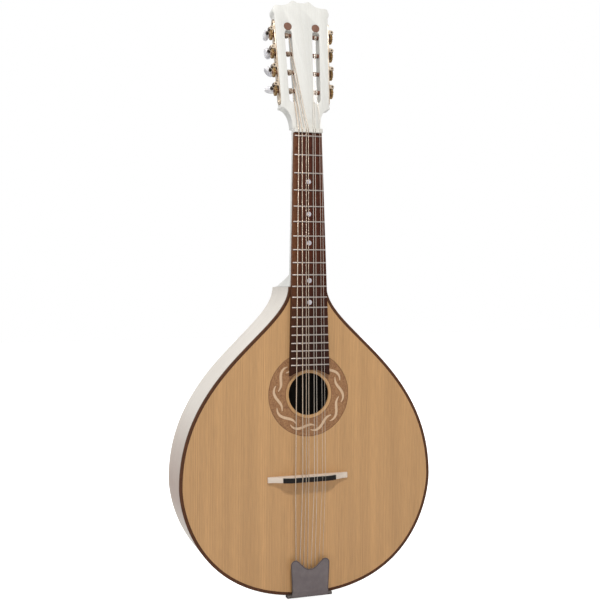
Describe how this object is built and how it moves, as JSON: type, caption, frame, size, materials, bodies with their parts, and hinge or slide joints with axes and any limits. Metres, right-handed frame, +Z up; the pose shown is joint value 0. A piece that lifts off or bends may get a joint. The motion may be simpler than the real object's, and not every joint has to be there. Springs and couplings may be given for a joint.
{
  "type": "mandola",
  "caption": "Flat-backed teardrop mandola with floating bridge, hinged tailpiece cover and slotted headstock with geared tuning machines.",
  "frame": {"origin": "on the centreline at the zero fret, in the plane of the soundboard's face, where a hanger holds the neck", "axes": "+X to the treble side, +Y from the soundboard to the back, +Z up the neck to the headstock"},
  "size_m": [0.3202, 0.0865, 0.7342],
  "materials": {
    "spruce_top": "satin lacquered spruce",
    "pale_wood": "whitewashed satin",
    "dark_binding": "satin",
    "inner_spruce": "bare",
    "rosewood": "oiled",
    "rosette_brown": "satin, with light strokes",
    "bone": "polished bone",
    "ebony": "oiled ebony",
    "steel": "plain",
    "dark_steel": "browned",
    "brass": "plain",
    "grey_lacquer": "dull grey",
    "bronze_wire": "wound bronze",
    "pearl_plastic": "pearly"
  },
  "bodies": {
    "instrument": {"soundboard": "spruce_top", "back_plate": "pale_wood", "side_bass": "pale_wood", "side_treble": "pale_wood", "edge_binding": "dark_binding", "tail_block": "inner_spruce", "neck": "pale_wood", "headstock": "pale_wood", "fingerboard": "rosewood", "nut": "bone", "rosette_ring": "rosette_brown", "bridge_base": "pale_wood", "bridge_saddle": "ebony", "tailpiece_base": "steel", "tailpiece_pin": "steel", "tuner_plate_bass": "steel", "tuner_plate_treble": "steel", "string_c1": "bronze_wire", "string_c2": "bronze_wire", "string_g1": "bronze_wire", "string_g2": "bronze_wire", "string_d1": "steel", "string_d2": "steel", "string_a1": "steel", "string_a2": "steel"},
    "tailpiece_lid": {"tailpiece_cover": "grey_lacquer"},
    "button_and_worm_bass_1": {"worm_bass_1": "dark_steel", "button_bass_1": "pearl_plastic"},
    "roller_and_gear_bass_1": {"roller_bass_1": "brass", "gear_bass_1": "brass"},
    "button_and_worm_bass_2": {"worm_bass_2": "dark_steel", "button_bass_2": "pearl_plastic"},
    "roller_and_gear_bass_2": {"roller_bass_2": "brass", "gear_bass_2": "brass"},
    "button_and_worm_bass_3": {"worm_bass_3": "dark_steel", "button_bass_3": "pearl_plastic"},
    "roller_and_gear_bass_3": {"roller_bass_3": "brass", "gear_bass_3": "brass"},
    "button_and_worm_bass_4": {"worm_bass_4": "dark_steel", "button_bass_4": "pearl_plastic"},
    "roller_and_gear_bass_4": {"roller_bass_4": "brass", "gear_bass_4": "brass"},
    "button_and_worm_treble_1": {"worm_treble_1": "dark_steel", "button_treble_1": "pearl_plastic"},
    "roller_and_gear_treble_1": {"roller_treble_1": "brass", "gear_treble_1": "brass"},
    "button_and_worm_treble_2": {"worm_treble_2": "dark_steel", "button_treble_2": "pearl_plastic"},
    "roller_and_gear_treble_2": {"roller_treble_2": "brass", "gear_treble_2": "brass"},
    "button_and_worm_treble_3": {"worm_treble_3": "dark_steel", "button_treble_3": "pearl_plastic"},
    "roller_and_gear_treble_3": {"roller_treble_3": "brass", "gear_treble_3": "brass"},
    "button_and_worm_treble_4": {"worm_treble_4": "dark_steel", "button_treble_4": "pearl_plastic"},
    "roller_and_gear_treble_4": {"roller_treble_4": "brass", "gear_treble_4": "brass"}
  },
  "joints": [
    {"name": "button_turn_bass_1", "type": "hinge", "parent": "instrument", "child": "button_and_worm_bass_1", "pos_m": [-0.03687, 0.01204, 0.06495], "axis": [0, 0.9925, -0.1219], "continuous": true},
    {"name": "roller_turn_bass_1", "type": "hinge", "parent": "instrument", "child": "roller_and_gear_bass_1", "pos_m": [-0.03157, 0.01108, 0.0572], "axis": [0.9993, 0.0047, 0.0381], "continuous": true},
    {"name": "button_turn_bass_2", "type": "hinge", "parent": "instrument", "child": "button_and_worm_bass_2", "pos_m": [-0.0378, 0.01496, 0.08875], "axis": [0, 0.9925, -0.1219], "continuous": true},
    {"name": "roller_turn_bass_2", "type": "hinge", "parent": "instrument", "child": "roller_and_gear_bass_2", "pos_m": [-0.03249, 0.01401, 0.08101], "axis": [0.9993, 0.0047, 0.0381], "continuous": true},
    {"name": "button_turn_bass_3", "type": "hinge", "parent": "instrument", "child": "button_and_worm_bass_3", "pos_m": [-0.03872, 0.01788, 0.11256], "axis": [0, 0.9925, -0.1219], "continuous": true},
    {"name": "roller_turn_bass_3", "type": "hinge", "parent": "instrument", "child": "roller_and_gear_bass_3", "pos_m": [-0.03341, 0.01693, 0.10481], "axis": [0.9993, 0.0047, 0.0381], "continuous": true},
    {"name": "button_turn_bass_4", "type": "hinge", "parent": "instrument", "child": "button_and_worm_bass_4", "pos_m": [-0.03964, 0.0208, 0.13636], "axis": [0, 0.9925, -0.1219], "continuous": true},
    {"name": "roller_turn_bass_4", "type": "hinge", "parent": "instrument", "child": "roller_and_gear_bass_4", "pos_m": [-0.03434, 0.01985, 0.12862], "axis": [0.9993, 0.0047, 0.0381], "continuous": true},
    {"name": "button_turn_treble_1", "type": "hinge", "parent": "instrument", "child": "button_and_worm_treble_1", "pos_m": [0.03687, 0.01204, 0.06495], "axis": [0, 0.9925, -0.1219], "continuous": true},
    {"name": "roller_turn_treble_1", "type": "hinge", "parent": "instrument", "child": "roller_and_gear_treble_1", "pos_m": [0.03157, 0.01108, 0.0572], "axis": [0.9993, -0.0047, -0.0381], "continuous": true},
    {"name": "button_turn_treble_2", "type": "hinge", "parent": "instrument", "child": "button_and_worm_treble_2", "pos_m": [0.0378, 0.01496, 0.08875], "axis": [0, 0.9925, -0.1219], "continuous": true},
    {"name": "roller_turn_treble_2", "type": "hinge", "parent": "instrument", "child": "roller_and_gear_treble_2", "pos_m": [0.03249, 0.01401, 0.08101], "axis": [0.9993, -0.0047, -0.0381], "continuous": true},
    {"name": "button_turn_treble_3", "type": "hinge", "parent": "instrument", "child": "button_and_worm_treble_3", "pos_m": [0.03872, 0.01788, 0.11256], "axis": [0, 0.9925, -0.1219], "continuous": true},
    {"name": "roller_turn_treble_3", "type": "hinge", "parent": "instrument", "child": "roller_and_gear_treble_3", "pos_m": [0.03341, 0.01693, 0.10481], "axis": [0.9993, -0.0047, -0.0381], "continuous": true},
    {"name": "button_turn_treble_4", "type": "hinge", "parent": "instrument", "child": "button_and_worm_treble_4", "pos_m": [0.03964, 0.0208, 0.13636], "axis": [0, 0.9925, -0.1219], "continuous": true},
    {"name": "roller_turn_treble_4", "type": "hinge", "parent": "instrument", "child": "roller_and_gear_treble_4", "pos_m": [0.03434, 0.01985, 0.12862], "axis": [0.9993, -0.0047, -0.0381], "continuous": true},
    {"name": "cover_hinge", "type": "hinge", "parent": "instrument", "child": "tailpiece_lid", "pos_m": [0, -0.0036, -0.5569], "axis": [1, 0, 0], "range_deg": [0, 105]}
  ],
  "couplings": [
    {"joint": "roller_turn_bass_1", "follows": "button_turn_bass_1", "ratio": 0.071429},
    {"joint": "roller_turn_bass_2", "follows": "button_turn_bass_2", "ratio": 0.071429},
    {"joint": "roller_turn_bass_3", "follows": "button_turn_bass_3", "ratio": 0.071429},
    {"joint": "roller_turn_bass_4", "follows": "button_turn_bass_4", "ratio": 0.071429},
    {"joint": "roller_turn_treble_1", "follows": "button_turn_treble_1", "ratio": 0.071429},
    {"joint": "roller_turn_treble_2", "follows": "button_turn_treble_2", "ratio": 0.071429},
    {"joint": "roller_turn_treble_3", "follows": "button_turn_treble_3", "ratio": 0.071429},
    {"joint": "roller_turn_treble_4", "follows": "button_turn_treble_4", "ratio": 0.071429}
  ]
}
